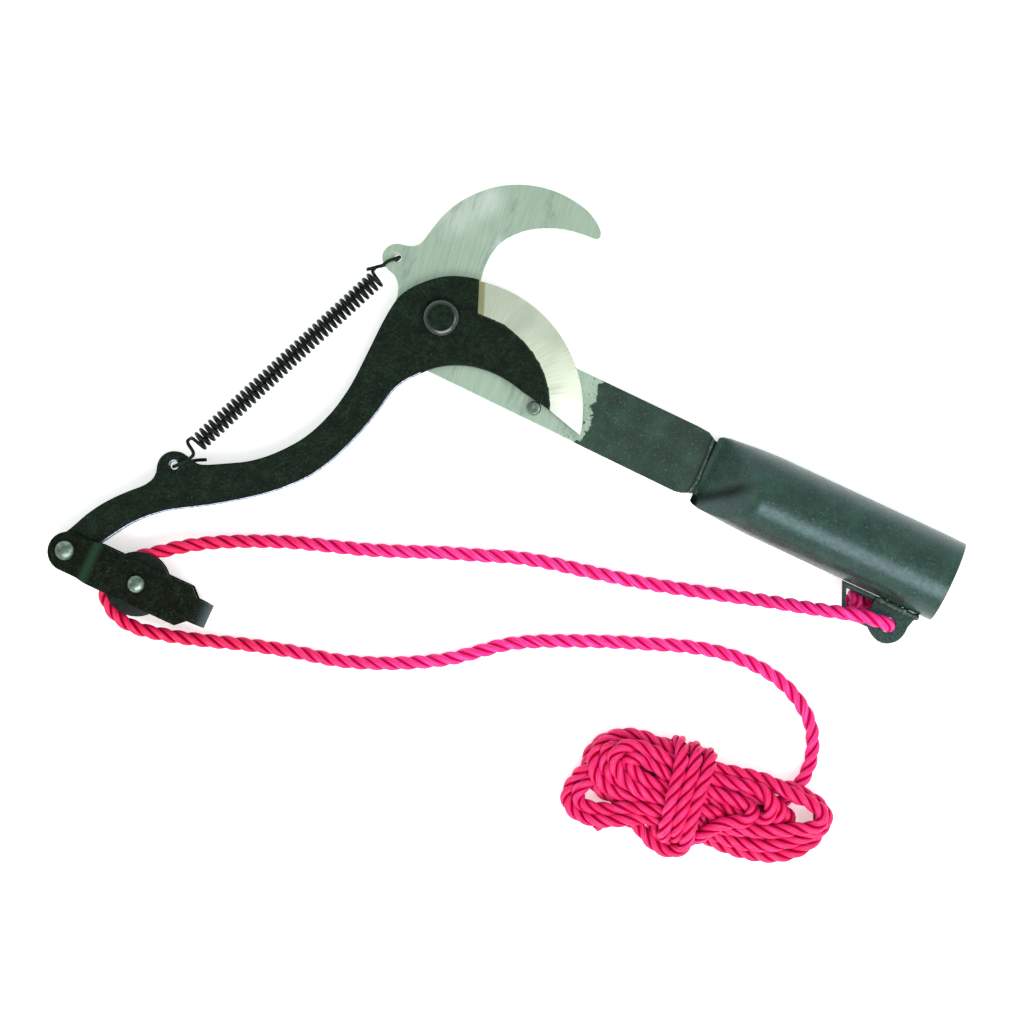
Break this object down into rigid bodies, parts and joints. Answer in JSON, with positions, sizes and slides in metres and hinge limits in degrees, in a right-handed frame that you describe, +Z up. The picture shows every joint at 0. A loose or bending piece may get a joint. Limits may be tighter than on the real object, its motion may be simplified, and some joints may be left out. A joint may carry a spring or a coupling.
{
  "type": "rope-operated tree pruner head",
  "caption": "Bypass pruning head for a long pole: hook plate, forged blade lever, return spring, swivelling pulley block, pole socket and pull rope.",
  "frame": {"origin": "middle of the bounding box of the head without its rope, on the surface the head lies on", "axes": "+X along the pole socket to its open mouth, +Y to the hook side, +Z up, square to the flat of the hook plate"},
  "size_m": [0.3436, 0.2412, 0.035],
  "materials": {
    "ground_steel": "surface-ground bare carbon steel",
    "black_forging": "black oxide on a hammered forging",
    "black_paint": "gloss black stove enamel",
    "zinc_steel": "bright zinc-plated steel",
    "spring_wire": "oiled black music wire",
    "black_wheel": "black painted pressed steel",
    "weld_metal": "painted-over weld bead",
    "red_rope": "three-strand laid polypropylene"
  },
  "bodies": {
    "head": {"hook_plate": "ground_steel", "stop_pin": "zinc_steel", "pivot_pin": "black_forging", "pivot_washer": "zinc_steel", "return_spring": "spring_wire", "socket_tube": "black_paint", "socket_weld": "weld_metal", "socket_weld_back": "weld_metal", "rope_lug": "black_paint", "rope_lug_weld": "weld_metal", "rope_lug_weld_back": "weld_metal", "rope_knot": "red_rope", "rope_upper_run": "red_rope", "rope_lower_run": "red_rope", "rope_hank": "red_rope"},
    "lever": {"blade_lever": "black_forging", "pivot_bush": "zinc_steel", "swivel_rivet": "zinc_steel"},
    "bracket": {"bracket_strap": "black_forging", "pulley_axle_rivet": "zinc_steel", "pulley_bush": "zinc_steel", "pulley_washer_upper": "zinc_steel", "pulley_washer_lower": "zinc_steel", "rope_pulley_turn": "red_rope"},
    "pulley": {"pulley_wheel": "black_wheel"}
  },
  "joints": [
    {"name": "lever_pivot", "type": "hinge", "parent": "head", "child": "lever", "pos_m": [-0.0642, 0.04915, 0.0094], "axis": [0, 0, 1], "range_deg": [0, 66], "stiffness_Nm_per_rad": 0.6, "springref_deg": -91.67, "deforming": ["return_spring", "rope_upper_run", "rope_lower_run"]},
    {"name": "bracket_swivel", "type": "hinge", "parent": "lever", "child": "bracket", "pos_m": [-0.1646, -0.10385, 0.0094], "axis": [0, 0, 1], "range_deg": [-12, 15], "deforming": ["rope_upper_run", "rope_lower_run"]},
    {"name": "pulley_spin", "type": "hinge", "parent": "bracket", "child": "pulley", "pos_m": [-0.1318, -0.10385, 0.0094], "axis": [0, 0, 1], "continuous": true, "deforming": ["rope_pulley_turn"]}
  ]
}
